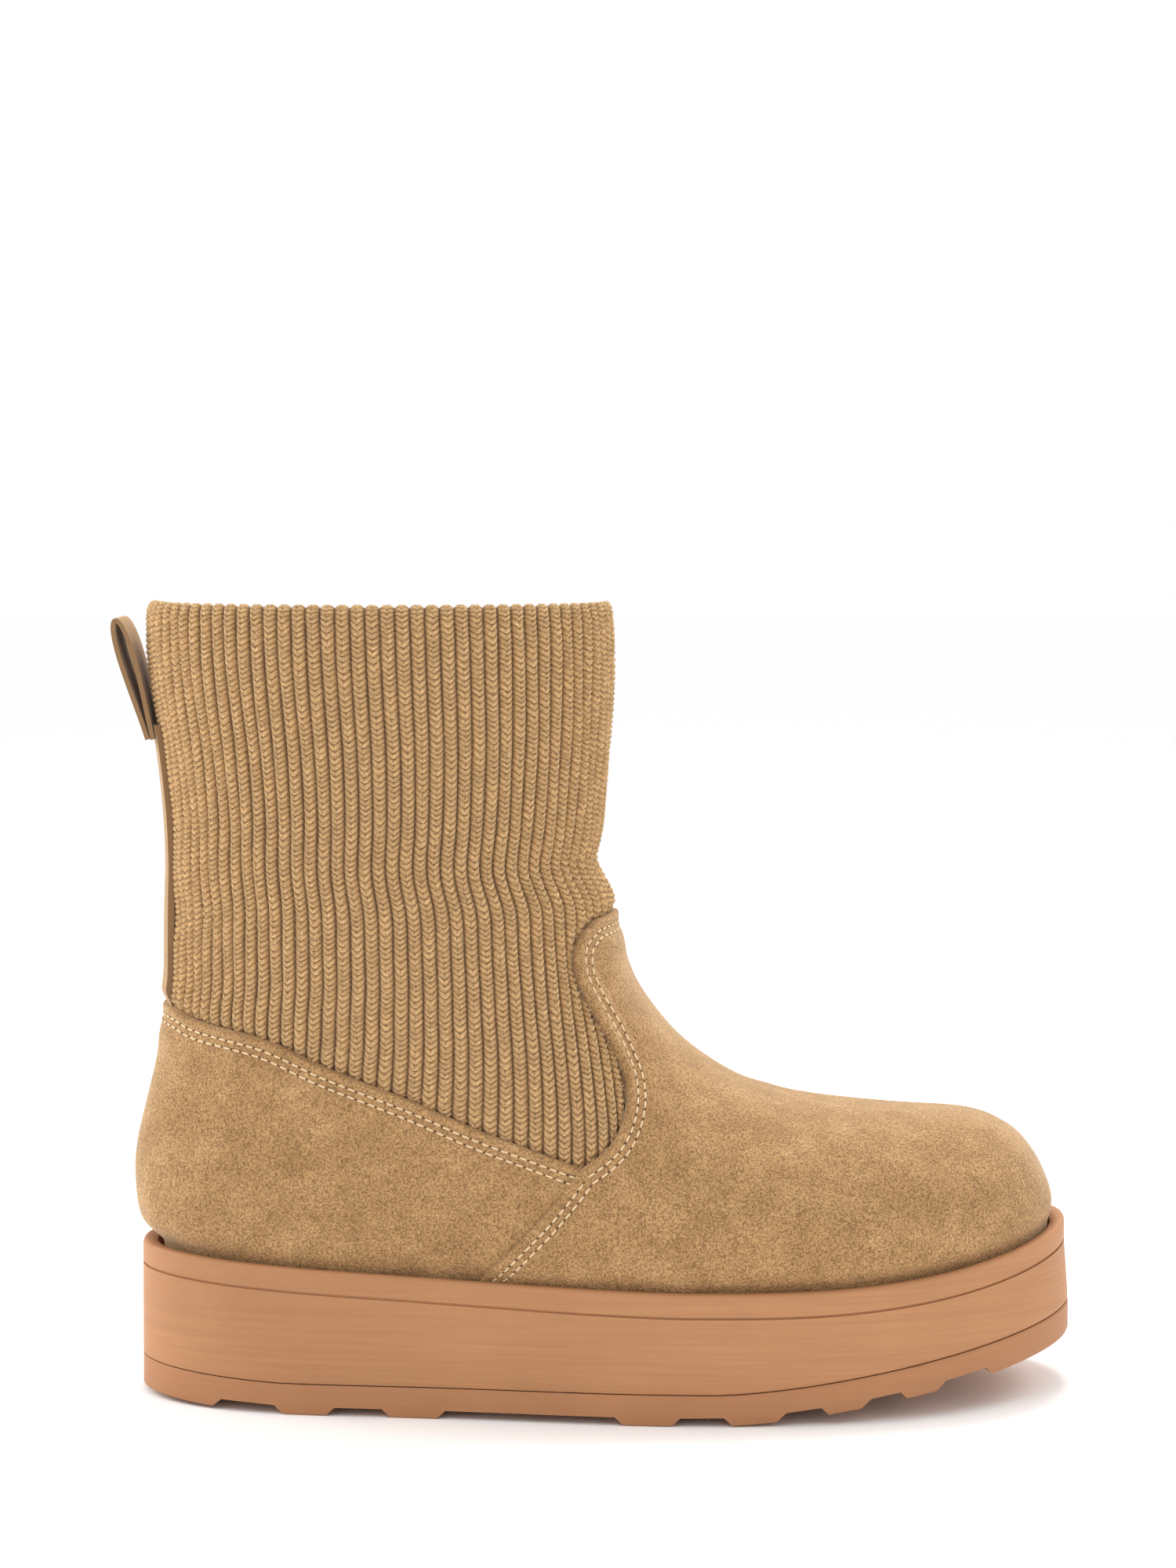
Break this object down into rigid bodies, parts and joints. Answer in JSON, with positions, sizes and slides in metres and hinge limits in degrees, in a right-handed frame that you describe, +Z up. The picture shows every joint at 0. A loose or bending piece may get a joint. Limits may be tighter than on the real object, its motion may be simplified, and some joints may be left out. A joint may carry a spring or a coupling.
{
  "type": "sweater boot",
  "caption": "Right pull-on sweater boot: ribbed knit shaft, suede foot, back pull loop and a thick platform sole with a lugged tread.",
  "frame": {"origin": "on the floor under the middle of the boot's box", "axes": "+X from heel to toe, +Y towards the inner side of the right foot, +Z up; the boot stands on its lugs at Z = 0"},
  "size_m": [0.277, 0.1002, 0.2275],
  "materials": {
    "outsole_rubber": "matte tan rubber with chevron lugs",
    "midsole_foam": "matte tan foam rubber with fine streaks",
    "lining": "soft beige lining",
    "suede": "camel suede with a short nap",
    "knit": "brushed rib knit in camel yarn",
    "tape": "camel tape with darker edges"
  },
  "bodies": {
    "root": {"outsole": "outsole_rubber", "midsole": "midsole_foam", "insole": "lining", "upper": "suede", "shaft": "knit", "back_strap": "tape", "pull_loop": "tape"}
  },
  "joints": []
}
